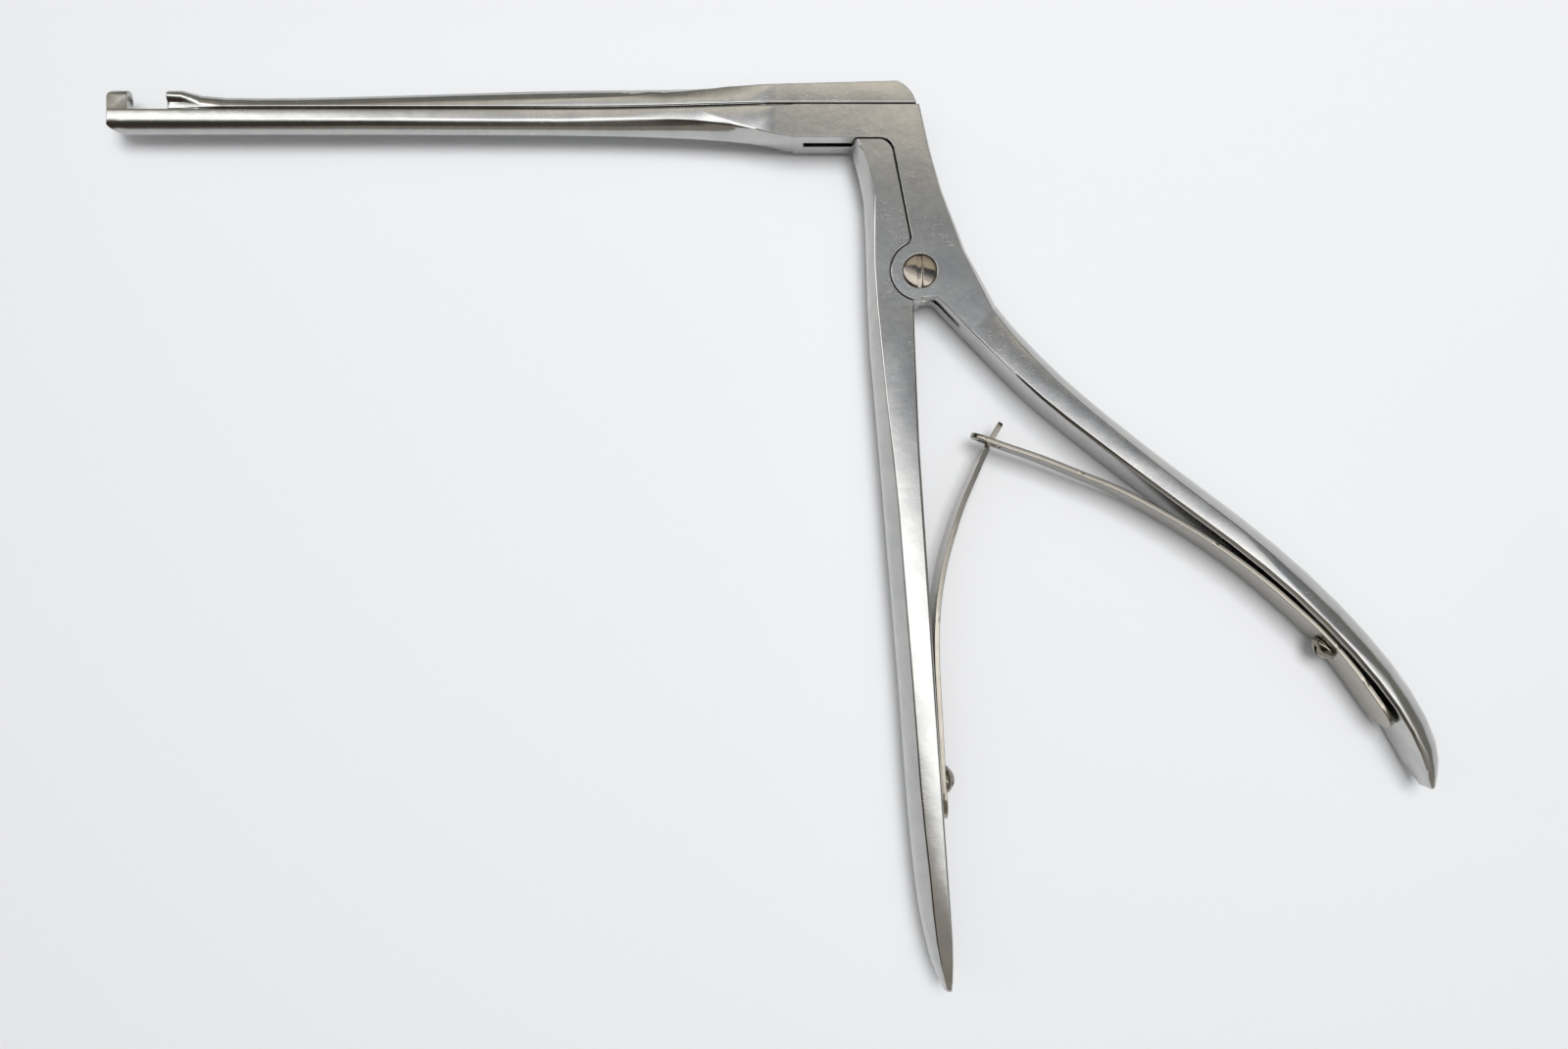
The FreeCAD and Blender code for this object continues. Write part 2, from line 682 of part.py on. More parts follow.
def front_handle(front_screw):
    outer, inner, width, crown, chamfer = rules(front_stations)
    sections = []
    for y in eased_steps(front_stations[0][0], front_stations[-1][0], handle_sections):
        base = Vec(inner(y), y, 0)
        sections.append(grip_section(base, Vec(-1, 0, 0), inner(y) - outer(y), width(y), crown(y), chamfer(y)))
    grip = loft(sections)
    inner_half = slot_width / 2 - tongue_side_gap
    for low, high in ((-block_width, -inner_half), (inner_half, block_width)):
        grip = grip.cut(joint_side(ear_gap, slant_gap, low, high))
    middle = joint_side(ear_gap, slant_gap, -inner_half, inner_half)
    grip = grip.cut(middle.common(box(-30, 5, 4, 40, -2, 2)))
    lever = grip.fuse(tongue())
    hole = rod(screw_shoulder_radius + screw_run_gap, Vec(0, 0, -block_width), Vec(0, 0, block_width))
    return lever.cut(hole).cut(spring_screw_hole(*front_screw, leaf_thickness))


def slide():
    """Moving upper bar with its keel, key and cupped cutting end."""
    flat = seam_y + slide_fit
    half, side, top = rules(slide_stations)
    places = eased_steps(block_front_x, slide_tip_x, slide_sections)
    sections = [bar_section(x, half(x), seam_y + side(x), seam_y + top(x), flat) for x in places]
    side_rise, top_rise = slide_rear_heights
    start = bar_section(slide_rear_x, block_width / 2, seam_y + side_rise, seam_y + top_rise, flat)
    body = loft(sections).fuse(loft([start, sections[0]])).cut(rear_corner_tool())
    keel_low = seam_y - keel_depth
    keel_half = slot_width / 2 - key_gap
    keel_top = flat + slide_fit
    keel = box(keel_front_x, keel_rear_x, keel_low, keel_top, -keel_half, keel_half)
    flange = box(
        keel_front_x, keel_front_x + flange_length, keel_low, keel_low + flange_height,
        -flange_half, flange_half)
    neck_top = seam_y - key_neck_height
    key_rear = key_front_x + key_length
    key = box(key_front_x, key_rear, neck_top, keel_top, -key_neck_half, key_neck_half)
    key_head = box(
        key_front_x, key_rear, neck_top - key_head_height + key_gap, neck_top,
        -key_head_half, key_head_half)
    for piece in (keel, flange, key, key_head):
        body = body.fuse(piece)
    return body.cut(drive_pocket()).cut(cup(slide_tip_x, -1))


def rear_corner_tool():
    """What is cut away to round the slide's upper rear corner."""
    radius = slide_rear_radius
    top = seam_y + slide_rear_heights[1]
    half = block_width
    centre = Vec(slide_rear_x - radius, top - radius, -half)
    corner = box(centre.x, slide_rear_x + 1, centre.y, top + 1, -half, half)
    return corner.cut(rod(radius, centre, centre + Vec(0, 0, 2 * half)))


def drive_pocket():
    """Pocket in the keel for the lever's nose."""
    nose = nose_centre()
    reach = nose_radius + nose_gap
    half = slot_width / 2
    pocket = box(nose.x - reach, nose.x + reach, seam_y - keel_depth - 1, nose.y, -half, half)
    return pocket.fuse(rod(reach, Vec(nose.x, nose.y, -half), Vec(nose.x, nose.y, half)))


def build():
    front_screw, rear_screw = screw_frames()
    return {
        "frame": frame(rear_screw),
        "slide": slide(),
        "front_handle": front_handle(front_screw),
        "pivot_screw": pivot_screw(),
        "front_leaf_spring": front_leaf_spring(*front_screw),
        "rear_leaf_spring": rear_leaf_spring(*rear_screw),
        "front_spring_screw": spring_screw(*front_screw),
        "rear_spring_screw": spring_screw(*rear_screw),
    }


def main():
    os.makedirs("parts", exist_ok=True)
    pieces = build()
    bounds = Part.makeCompound(list(pieces.values())).optimalBoundingBox(False)
    origin = Vec(-(bounds.XMin + bounds.XMax) / 2, -(bounds.YMin + bounds.YMax) / 2, -bounds.ZMin)
    print("pivot lies at", [round(v, 4) for v in origin])
    for name, shape in pieces.items():
        print(name, shape.isValid(), len(shape.Solids), round(shape.Volume, 2))
        placed = shape.copy()
        placed.translate(origin)
        placed.exportStep("parts/" + name + ".step")


main()
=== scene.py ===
import json
import math

import bmesh
import bpy
from mathutils import Matrix, Vector


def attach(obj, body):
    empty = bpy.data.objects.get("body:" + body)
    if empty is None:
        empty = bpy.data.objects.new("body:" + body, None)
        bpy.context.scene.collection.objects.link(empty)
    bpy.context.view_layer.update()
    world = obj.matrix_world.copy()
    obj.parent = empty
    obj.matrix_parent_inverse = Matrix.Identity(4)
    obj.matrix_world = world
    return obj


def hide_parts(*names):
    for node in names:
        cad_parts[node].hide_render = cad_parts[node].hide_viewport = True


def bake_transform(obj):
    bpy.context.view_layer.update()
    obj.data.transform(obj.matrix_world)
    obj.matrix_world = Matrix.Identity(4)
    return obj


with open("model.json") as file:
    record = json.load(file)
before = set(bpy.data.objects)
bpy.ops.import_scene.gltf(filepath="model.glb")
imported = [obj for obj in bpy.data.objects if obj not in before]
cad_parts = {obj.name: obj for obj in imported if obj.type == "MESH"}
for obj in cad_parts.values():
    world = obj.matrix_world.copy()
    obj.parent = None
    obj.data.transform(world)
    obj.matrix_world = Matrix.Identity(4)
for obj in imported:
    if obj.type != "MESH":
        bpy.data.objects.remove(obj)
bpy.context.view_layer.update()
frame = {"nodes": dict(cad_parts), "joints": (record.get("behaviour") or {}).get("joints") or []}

mm = 0.001
scene = bpy.context.scene
nodes = frame["nodes"]
hinge = [j for j in frame["joints"] if j["name"] == "trigger_squeeze"][0]
pivot = Vector(hinge["pos_m"])


# A place given in mm from the pivot's axis and the punch's mid-plane
def at(x, y, z=0.0):
    return pivot + Vector((x, y, z)) * mm


# sRGB hex to linear RGBA
def toLinear(hexColour):
    channels = [int(hexColour[i:i + 2], 16) / 255 for i in (1, 3, 5)]
    return [c / 12.92 if c <= 0.04045 else ((c + 0.055) / 1.055) ** 2.4 for c in channels] + [1.0]


# A node with its settings; each input is a value or another node's output socket
def addNode(tree, kind, settings=None, inputs=None):
    node = tree.nodes.new(kind)
    for name, value in (settings or {}).items():
        setattr(node, name, value)
    for name, value in (inputs or {}).items():
        if isinstance(value, bpy.types.NodeSocket):
            tree.links.new(value, node.inputs[name])
        else:
            node.inputs[name].default_value = value
    return node


def addMath(tree, operation, *values):
    return addNode(tree, "ShaderNodeMath", {"operation": operation}, dict(enumerate(values))).outputs[0]


# Soft step from low to high while the value goes from start to end
def addStep(tree, value, start, end, low=0.0, high=1.0):
    ranges = {"Value": value, "From Min": start, "From Max": end, "To Min": low, "To Max": high}
    return addNode(tree, "ShaderNodeMapRange", {"interpolation_type": "SMOOTHSTEP"}, ranges).outputs[0]


def addMix(tree, factor, first, second, blend="MIX"):
    node = addNode(tree, "ShaderNodeMix", {"data_type": "RGBA", "blend_type": blend})
    for name, value in (("Factor_Float", factor), ("A_Color", first), ("B_Color", second)):
        socket = [s for s in node.inputs if s.identifier == name][0]
        if isinstance(value, bpy.types.NodeSocket):
            tree.links.new(value, socket)
        else:
            socket.default_value = value
    return [s for s in node.outputs if s.identifier == "Result_Color"][0]


# Camera: straight above, where the photograph was taken from
view = {"x": -23.6, "y": -43.95, "height": 207.5, "lens": 26.9, "sensor": 36.0}


def makeCamera():
    data = bpy.data.cameras.new("camera")
    data.lens = view["lens"]
    data.sensor_width = view["sensor"]
    data.clip_start = 0.005
    camera = bpy.data.objects.new("camera", data)
    camera.location = at(view["x"], view["y"], view["height"])
    scene.collection.objects.link(camera)
    scene.camera = camera


makeCamera()
print("camera placed")


# Studio: white paper under a sky that the steel mirrors, its bright strip leaning across the object
studio = {
    "paper": "#F3F4F6", "strength": 2.6, "stripLean": 0.45,
    "strip": [
        (-0.29, "#6E716B"), (-0.235, "#A3A5A1"), (-0.19, "#D1D1D1"), (-0.14, "#E6E6E6"), (-0.09, "#FCFCFC"),
        (0.062, "#FCFCFC"), (0.082, "#C4C4C4"), (0.12, "#C3C4C6"), (0.15, "#BCBCBF"), (0.185, "#A7A7AA"),
        (0.215, "#86888C"), (0.25, "#6B6F74"), (0.30, "#4D5056"), (0.36, "#46494F"),
    ],
    "back": "#BBB5A9", "backLeft": "#7A756C", "backSpan": (0.330, 0.341),
    "backLean": 0.25, "backBend": -0.03,
    "leftSpan": (-0.38, -0.12), "farLow": "#5A5954", "farSpan": (0.0, 0.3), "lowSpan": (0.92, 0.72),
    "dark": "#2B2520", "darkRight": "#6E6A65", "rightSpan": (-0.28, -0.02), "horizon": "#66625B",
    "figureTop": 0.55, "figureSlope": 2.2, "figureRise": 1.226, "figureSoft": 0.07,
    "nearSpan": (-0.08, -0.22), "underSpan": (-0.17, -0.23),
    "fill": 0.55, "lampPower": 5.2, "lampSize": 0.35, "lampPlace": (60, 120, 850),
}


def makeFloor():
    wide = 3.0
    corners = [(-wide, -wide, 0), (wide, -wide, 0), (wide, wide, 0), (-wide, wide, 0)]
    mesh = bpy.data.meshes.new("floor")
    mesh.from_pydata(corners, [], [(0, 1, 2, 3)])
    floor = bpy.data.objects.new("floor", mesh)
    scene.collection.objects.link(floor)
    paper = bpy.data.materials.new("whitePaper")
    paper.use_nodes = True
    shader = paper.node_tree.nodes["Principled BSDF"]
    shader.inputs["Base Color"].default_value = toLinear(studio["paper"])
    shader.inputs["Roughness"].default_value = 0.9
    shader.inputs["Specular IOR Level"].default_value = 0.1
    mesh.materials.append(paper)


def makeSky():
    world = bpy.data.worlds.new("studioSky")
    scene.world = world
    world.use_nodes = True
    tree = world.node_tree
    tree.nodes.clear()
    place = addNode(tree, "ShaderNodeTexCoord").outputs["Generated"]
    split = addNode(tree, "ShaderNodeSeparateXYZ", inputs={0: place})
    x, y, z = split.outputs
    across = addMath(tree, "MULTIPLY_ADD", x, studio["stripLean"], y)
    first = studio["strip"][0][0]
    span = studio["strip"][-1][0] - first
    along = addMath(tree, "DIVIDE", addMath(tree, "SUBTRACT", across, first), span)
    ramp = addNode(tree, "ShaderNodeValToRGB", inputs={0: along})
    stops = ramp.color_ramp.elements
    while len(stops) < len(studio["strip"]):
        stops.new(0.5)
    for stop, (spot, colour) in zip(stops, studio["strip"]):
        stop.position = (spot - first) / span
        stop.color = toLinear(colour)
    bend = addMath(tree, "MAXIMUM", x, studio["backBend"])
    backward = addMath(tree, "MULTIPLY_ADD", bend, studio["backLean"], y)
    behind = addStep(tree, backward, *studio["backSpan"])
    left = addStep(tree, x, *studio["leftSpan"])
    back = addMix(tree, left, toLinear(studio["backLeft"]), toLinear(studio["back"]))
    colour = addMix(tree, behind, ramp.outputs[0], back)
    # the room on the far side, low down
    side = addStep(tree, addMath(tree, "ADD", x, y), *studio["farSpan"])
    low = addStep(tree, z, *studio["lowSpan"])
    colour = addMix(tree, addMath(tree, "MULTIPLY", side, low), colour, toLinear(studio["farLow"]))
    # the dark part behind the camera, and the paler room under it
    rise = addMath(tree, "MULTIPLY_ADD", x, studio["figureSlope"], studio["figureRise"])
    edge = addMath(tree, "MINIMUM", rise, studio["figureTop"])
    above = addStep(tree, addMath(tree, "SUBTRACT", z, edge), -studio["figureSoft"], studio["figureSoft"])
    near = addStep(tree, y, *studio["nearSpan"])
    under = addMath(tree, "MULTIPLY", near, addStep(tree, across, *studio["underSpan"]))
    right = addStep(tree, x, *studio["rightSpan"])
    figure = addMix(tree, right, toLinear(studio["dark"]), toLinear(studio["darkRight"]))
    figure = addMix(tree, above, toLinear(studio["horizon"]), figure)
    colour = addMix(tree, under, colour, figure)
    # matt things get an even light, so the paper stays white between soft shadows
    rays = addNode(tree, "ShaderNodeLightPath")
    overhead = addMath(tree, "MULTIPLY", z, z)
    overhead = addMath(tree, "MULTIPLY", overhead, studio["fill"] / studio["strength"])
    even = addNode(tree, "ShaderNodeCombineColor", inputs={0: overhead, 1: overhead, 2: overhead}).outputs[0]
    seen = addMix(tree, rays.outputs["Is Diffuse Ray"], colour, even)
    seen = addMix(tree, rays.outputs["Is Camera Ray"], seen, [1 / studio["strength"]] * 3 + [1.0])
    sky = addNode(tree, "ShaderNodeBackground", inputs={"Color": seen, "Strength": studio["strength"]})
    addNode(tree, "ShaderNodeOutputWorld", inputs={"Surface": sky.outputs[0]})


def makeLamp():
    data = bpy.data.lights.new("softbox", "AREA")
    data.shape = "SQUARE"
    data.size = studio["lampSize"]
    data.energy = studio["lampPower"]
    lamp = bpy.data.objects.new("softbox", data)
    lamp.visible_glossy = False
    lamp.location = at(*studio["lampPlace"])
    lamp.rotation_euler = (at(-20, -30) - lamp.location).to_track_quat("-Z", "Y").to_euler()
    scene.collection.objects.link(lamp)


makeFloor()
makeSky()
makeLamp()
print("studio made")


# Finishes. Pattern sizes are in mm, read from Object coordinates
finishes = {
    # hand-brushed stainless: soft cloudy reflections with a few hair-thin scratches, painted near-white as a
    # glint
    "satinBrushedSteel": {"colour": "#B9B9B6", "cloud": "#B0B0AF", "roughness": 0.17, "cloudSize": 4.0,
                          "wave": 0.022, "grain": 0.25, "grainDepth": 0.0008, "scratches": 0.8},
    # turned and buffed screws: near-mirror, warmer than the satin parts
    "polishedSteel": {"colour": "#8B847B", "cloud": "#7F786F", "roughness": 0.08, "cloudSize": 2.0,
                      "wave": 0.004, "grain": 0.3, "grainDepth": 0.0004, "scratches": 0.2},
    # rolled spring strip: smooth and a little yellow beside the grey handles
    "springSteel": {"colour": "#9E998F", "cloud": "#959086", "roughness": 0.15, "cloudSize": 4.0,
                    "wave": 0.006, "grain": 0.3, "grainDepth": 0.0005, "scratches": 0.3},
}


# How the patterns show: ranges of noise that count, the turn and stretch of each set of scratches in mm, and
# the near-white colour painted on the scratches as a glint
patterns = {
    "cloudRange": (0.35, 0.65), "lineRange": (0.69, 0.74), "spread": 9.0, "spreadRange": (0.47, 0.62),
    "lineSets": [((0, 0, 0.9), (1.6, 0.07, 6.0)), ((0.1, 0.1, -1.1), (1.3, 0.06, 6.0))],
    "scratchGlintColour": "#F2F0EC", "scratchGlintMix": 0.6, "lineRough": 0.15, "grainRough": 0.08,
}


# Sparse thin lines in one direction: 1 on a scratch and 0 elsewhere
def scratchLines(tree, place, turn, stretch):
    scale = [1 / mm / s for s in stretch]
    turned = addNode(tree, "ShaderNodeMapping", inputs={"Vector": place, "Rotation": turn, "Scale": scale})
    noise = addNode(tree, "ShaderNodeTexNoise", inputs={
        "Vector": turned.outputs[0], "Scale": 1.0, "Detail": 1.0})
    return addStep(tree, noise.outputs["Fac"], *patterns["lineRange"])


def makeSteel(name):
    finish = finishes[name]
    material = bpy.data.materials.new(name)
    material.use_nodes = True
    tree = material.node_tree
    shader = tree.nodes["Principled BSDF"]
    shader.inputs["Metallic"].default_value = 1.0
    place = addNode(tree, "ShaderNodeTexCoord").outputs["Object"]
    cloud = addNode(tree, "ShaderNodeTexNoise", inputs={
        "Vector": place, "Scale": 1 / (finish["cloudSize"] * mm),
        "Detail": 4.0, "Roughness": 0.6}).outputs["Fac"]
    grain = addNode(tree, "ShaderNodeTexNoise", inputs={
        "Vector": place, "Scale": 1 / (finish["grain"] * mm), "Detail": 2.0}).outputs["Fac"]
    lineSets = [scratchLines(tree, place, turn, stretch) for turn, stretch in patterns["lineSets"]]
    lines = addMath(tree, "MAXIMUM", *lineSets)
    spread = addNode(tree, "ShaderNodeTexNoise", inputs={
        "Vector": place, "Scale": 1 / (patterns["spread"] * mm), "Detail": 2.0})
    worn = addStep(tree, spread.outputs["Fac"], *patterns["spreadRange"], 0.0, finish["scratches"])
    lines = addMath(tree, "MULTIPLY", lines, worn)
    patch = addStep(tree, cloud, *patterns["cloudRange"])
    colour = addMix(tree, patch, toLinear(finish["cloud"]), toLinear(finish["colour"]))
    # painted glint: the scratches are mixed towards a near-white colour that stands in for light caught in
    # them; their roughness change is real
    paintedGlint = addMath(tree, "MULTIPLY", lines, patterns["scratchGlintMix"])
    colour = addMix(tree, paintedGlint, colour, toLinear(patterns["scratchGlintColour"]))
    smooth = finish["roughness"] - patterns["grainRough"] / 2
    rough = addMath(tree, "MULTIPLY_ADD", grain, patterns["grainRough"], smooth)
    rough = addMath(tree, "MULTIPLY_ADD", lines, patterns["lineRough"], rough)
    waves = addNode(tree, "ShaderNodeBump", inputs={
        "Strength": 1.0, "Distance": finish["wave"] * mm, "Height": cloud})
    fine = addNode(tree, "ShaderNodeBump", inputs={
        "Strength": 1.0, "Distance": finish["grainDepth"] * mm, "Height": grain, "Normal": waves.outputs[0]})
    tree.links.new(colour, shader.inputs["Base Color"])
    tree.links.new(rough, shader.inputs["Roughness"])
    tree.links.new(fine.outputs[0], shader.inputs["Normal"])
    return material


satinSteel = makeSteel("satinBrushedSteel")
polishedSteel = makeSteel("polishedSteel")
springSteel = makeSteel("springSteel")
print("finishes made")


def linkPiece(name, mesh, material):
    mesh.materials.clear()
    mesh.materials.append(material)
    piece = bpy.data.objects.new(name, mesh)
    scene.collection.objects.link(piece)
    return piece


# Applies the piece's modifiers, so that a plain mesh at the origin is left
def finishPiece(piece, name):
    graph = bpy.context.evaluated_depsgraph_get()
    mesh = bpy.data.meshes.new_from_object(piece.evaluated_get(graph))
    mesh.name = name
    piece.modifiers.clear()
    piece.data = mesh
    piece.name = name


# Body pieces: each CAD skin in one surface, its crowns smooth and its long edges broken by hand
bodies = {
    "edgeRadius": 0.18, "edgeAngle": 40.0, "breakAngle": 32.0, "room": 1.5, "wear": 0.3,
    "mergeGap": 0.002, "flatAngle": 0.4, "flatWeight": 50,
    "barEnd": -27, "gripStart": 13, "leverGripStart": -8,
}


# Leans the normals beside each edge towards its far side, as on hand-ground bars and grips
def softenFlats(mesh, worn):
    leans = [Vector() for v in mesh.vertices]
    for face in mesh.polygons:
        for vertex in face.vertices:
            leans[vertex] += face.normal
    normals = [corner.vector.copy() for corner in mesh.corner_normals]
    for loop in mesh.loops:
        spot = (mesh.vertices[loop.vertex_index].co - pivot) / mm
        if worn(spot.x, spot.y):
            mean = leans[loop.vertex_index].normalized()
            normals[loop.index] = normals[loop.index].lerp(mean, bodies["wear"]).normalized()
    mesh.normals_split_custom_set(normals)


def roundedCopy(nodeName, name, material, worn):
    mesh = nodes[nodeName].data.copy()
    if "custom_normal" in mesh.attributes:
        mesh.attributes.remove(mesh.attributes["custom_normal"])
    skin = bmesh.new()
    skin.from_mesh(mesh)
    bmesh.ops.remove_doubles(skin, verts=skin.verts, dist=bodies["mergeGap"] * mm)
    bmesh.ops.dissolve_limit(skin, angle_limit=math.radians(bodies["flatAngle"]), verts=skin.verts,
                             edges=skin.edges, use_dissolve_boundaries=False)
    weights = skin.edges.layers.float.new("bevel_weight_edge")
    room = bodies["edgeRadius"] * bodies["room"] * mm
    for edge in skin.edges:
        angle = edge.calc_face_angle(0.0)
        edge.smooth = angle < math.radians(bodies["breakAngle"])
        reach = min(face.calc_area() for face in edge.link_faces) / max(edge.calc_length(), 1e-6)
        if angle > math.radians(bodies["edgeAngle"]) and reach > room:
            edge[weights] = 1.0
            edge.smooth = True
    for face in skin.faces:
        face.smooth = True
    skin.to_mesh(mesh)
    skin.free()
    piece = linkPiece(name, mesh, material)
    bevel = piece.modifiers.new("roundedEdges", "BEVEL")
    bevel.width = bodies["edgeRadius"] * mm
    bevel.segments = 2
    bevel.limit_method = "WEIGHT"
    bevel.use_clamp_overlap = False
    even = piece.modifiers.new("evenNormals", "WEIGHTED_NORMAL")
    even.keep_sharp = True
    even.weight = bodies["flatWeight"]
    finishPiece(piece, name)
    softenFlats(piece.data, worn)
    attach(piece, nodeName)
    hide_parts(nodeName)
    return piece


roundedCopy("frame", "frameBody", satinSteel, lambda x, y: x > bodies["gripStart"] or x < bodies["barEnd"])
roundedCopy("slide", "slideBody", satinSteel, lambda x, y: x < bodies["barEnd"])
roundedCopy("front_handle", "frontHandleBody", satinSteel, lambda x, y: y < bodies["leverGripStart"])
print("bodies made")


# Geometry Nodes: a tree with named inputs, used for the pieces that repeat or follow a path
def newTree(name, sockets):
    tree = bpy.data.node_groups.new(name, "GeometryNodeTree")
    tree.interface.new_socket("Geometry", in_out="INPUT", socket_type="NodeSocketGeometry")
    for label, kind in sockets:
        tree.interface.new_socket(label, in_out="INPUT", socket_type="NodeSocket" + kind)
    tree.interface.new_socket("Geometry", in_out="OUTPUT", socket_type="NodeSocketGeometry")
    return tree, tree.nodes.new("NodeGroupInput").outputs


def endTree(tree, geometry, material):
    real = addNode(tree, "GeometryNodeRealizeInstances", inputs={"Geometry": geometry})
    painted = addNode(tree, "GeometryNodeSetMaterial", inputs={
        "Geometry": real.outputs[0], "Material": material})
    addNode(tree, "NodeGroupOutput", inputs={"Geometry": painted.outputs[0]})


def runTree(piece, tree, values):
    modifier = piece.modifiers.new(tree.name, "NODES")
    modifier.node_group = tree
    for item in tree.interface.items_tree:
        if item.in_out == "INPUT" and item.name in values:
            modifier[item.identifier] = values[item.name]


# Bends a flat blank along a path: length along X, thickness along Y and width along Z
def makeBendTree():
    sockets = [("Path", "Object"), ("Start", "Float"), ("Material", "Material")]
    tree, given = newTree("bendAlongPath", sockets)
    path = addNode(tree, "GeometryNodeObjectInfo", inputs={"Object": given["Path"]})
    blank = addNode(tree, "GeometryNodeInputPosition").outputs[0]
    x, y, z = addNode(tree, "ShaderNodeSeparateXYZ", inputs={0: blank}).outputs
    length = addMath(tree, "SUBTRACT", x, given["Start"])
    sample = addNode(tree, "GeometryNodeSampleCurve", {"mode": "LENGTH", "use_all_curves": True},
                     {"Curves": path.outputs["Geometry"], "Length": length})
    side = addNode(tree, "ShaderNodeVectorMath", {"operation": "CROSS_PRODUCT"},
                   {0: sample.outputs["Tangent"], 1: (0, 0, 1)})
    side = addNode(tree, "ShaderNodeVectorMath", {"operation": "NORMALIZE"}, {0: side.outputs[0]})
    out = addNode(tree, "ShaderNodeVectorMath", {"operation": "SCALE"}, {0: side.outputs[0], "Scale": y})
    rise = addNode(tree, "ShaderNodeCombineXYZ", inputs={2: z})
    offset = addNode(tree, "ShaderNodeVectorMath", inputs={0: out.outputs[0], 1: rise.outputs[0]})
    place = addNode(tree, "ShaderNodeVectorMath", inputs={
        0: sample.outputs["Position"], 1: offset.outputs[0]})
    bent = addNode(tree, "GeometryNodeSetPosition", inputs={
        "Geometry": given["Geometry"], "Position": place.outputs[0]})
    endTree(tree, bent.outputs[0], given["Material"])
    return tree


# Slotted screw: head with a domed top at z = 0, slot along Y, shank below
def makeScrewTree():
    names = ("Radius", "Rim", "Dome", "Slot Width", "Slot Depth", "Shank Radius", "Shank Length")
    tree, given = newTree("slottedScrew", [(n, "Float") for n in names] + [("Material", "Material")])
    head = addNode(tree, "GeometryNodeMeshCylinder", {"fill_type": "TRIANGLE_FAN"}, {
        "Vertices": 64, "Side Segments": 1, "Fill Segments": 8,
        "Radius": given["Radius"], "Depth": given["Rim"]})
    spot = addNode(tree, "GeometryNodeInputPosition").outputs[0]
    x, y, z = addNode(tree, "ShaderNodeSeparateXYZ", inputs={0: spot}).outputs
    outwards = addMath(tree, "DIVIDE", addMath(tree, "SQRT", addMath(
        tree, "ADD", addMath(tree, "MULTIPLY", x, x), addMath(tree, "MULTIPLY", y, y))), given["Radius"])
    fall = addMath(tree, "SUBTRACT", 1.0, addMath(tree, "MULTIPLY", outwards, outwards))
    onTop = addMath(tree, "GREATER_THAN", z, 0.0)
    lift = addMath(tree, "MULTIPLY", addMath(tree, "MULTIPLY", fall, given["Dome"]), onTop)
    lift = addNode(tree, "ShaderNodeCombineXYZ", inputs={2: lift})
    domed = addNode(tree, "GeometryNodeSetPosition", inputs={
        "Geometry": head.outputs["Mesh"], "Offset": lift.outputs[0]})
    size = addNode(tree, "ShaderNodeCombineXYZ", inputs={
        0: given["Slot Width"], 1: addMath(tree, "MULTIPLY", given["Radius"], 3.0),
        2: addMath(tree, "MULTIPLY", given["Slot Depth"], 2.0)})
    cutter = addNode(tree, "GeometryNodeMeshCube", inputs={"Size": size.outputs[0]})
    top = addMath(tree, "ADD", addMath(tree, "MULTIPLY", given["Rim"], 0.5), given["Dome"])
    topPlace = addNode(tree, "ShaderNodeCombineXYZ", inputs={2: top})
    cutter = addNode(tree, "GeometryNodeTransform", inputs={
        "Geometry": cutter.outputs["Mesh"], "Translation": topPlace.outputs[0]})
    slotted = addNode(tree, "GeometryNodeMeshBoolean", {"operation": "DIFFERENCE"},
                      {"Mesh 1": domed.outputs[0]})
    tree.links.new(cutter.outputs[0], slotted.inputs["Mesh 2"])
    shank = addNode(tree, "GeometryNodeMeshCylinder", inputs={
        "Vertices": 48, "Radius": given["Shank Radius"], "Depth": given["Shank Length"]})
    drop = addMath(tree, "MULTIPLY", addMath(tree, "ADD", given["Rim"], given["Shank Length"]), -0.5)
    shankPlace = addNode(tree, "ShaderNodeCombineXYZ", inputs={2: drop})
    shank = addNode(tree, "GeometryNodeTransform", inputs={
        "Geometry": shank.outputs["Mesh"], "Translation": shankPlace.outputs[0]})
    whole = addNode(tree, "GeometryNodeJoinGeometry")
    tree.links.new(slotted.outputs[0], whole.inputs[0])
    tree.links.new(shank.outputs[0], whole.inputs[0])
    toTop = addNode(tree, "ShaderNodeCombineXYZ", inputs={2: addMath(tree, "MULTIPLY", top, -1.0)})
    lowered = addNode(tree, "GeometryNodeTransform", inputs={
        "Geometry": whole.outputs[0], "Translation": toTop.outputs[0]})
    endTree(tree, lowered.outputs[0], given["Material"])
    return tree


bendTree = makeBendTree()
screwTree = makeScrewTree()

# Leaf springs: (x, y, width) along each middle line, from the free end to the screwed end
leafStrip = {"thickness": 0.9, "edgeRadius": 0.12, "edgeAngle": 60, "step": 1.2, "flatAngle": 0.6}
rearLeaf = {
    "points": [(11.9, -28.95, 5.2), (15.4, -30.2, 5.5), (21.7, -32.4, 6.2), (28.1, -35.0, 6.8),
               (34.4, -37.6, 7.3), (42.8, -42.05, 7.9), (51.2, -47.2, 8.4), (59.8, -53.5, 8.6),
               (65.6, -58.5, 8.6), (69.4, -61.98, 8.6), (72.48, -65.24, 8.6), (77.4, -71.4, 8.6),
               (80.8, -76.2, 8.6)],
    "roundStart": 2.6, "roundEnd": 4.3, "window": (1.1, 2.1, 1.15), "shoulder": None,
    "hole": 10, "holeRadius": 1.34,
}
frontLeaf = {
    "points": [(14.4, -26.6, 1.6), (12.1, -30.45, 1.6), (12.0, -30.6, 5.2), (9.7, -35.7, 5.9),
               (7.65, -40.4, 6.5), (6.05, -45.1, 7.1), (4.65, -50.0, 7.6), (3.65, -55.0, 8.1),
               (3.05, -60.5, 8.6), (2.95, -66.0, 8.6), (3.25, -73.0, 8.6), (3.67, -80.46, 8.6),
               (3.97, -86.46, 8.6), (4.12, -89.1, 8.6), (4.34, -91.66, 8.6)],
    "roundStart": 0.8, "roundEnd": 4.3, "window": None, "shoulder": 2,
    "hole": 13, "holeRadius": 1.34,
}


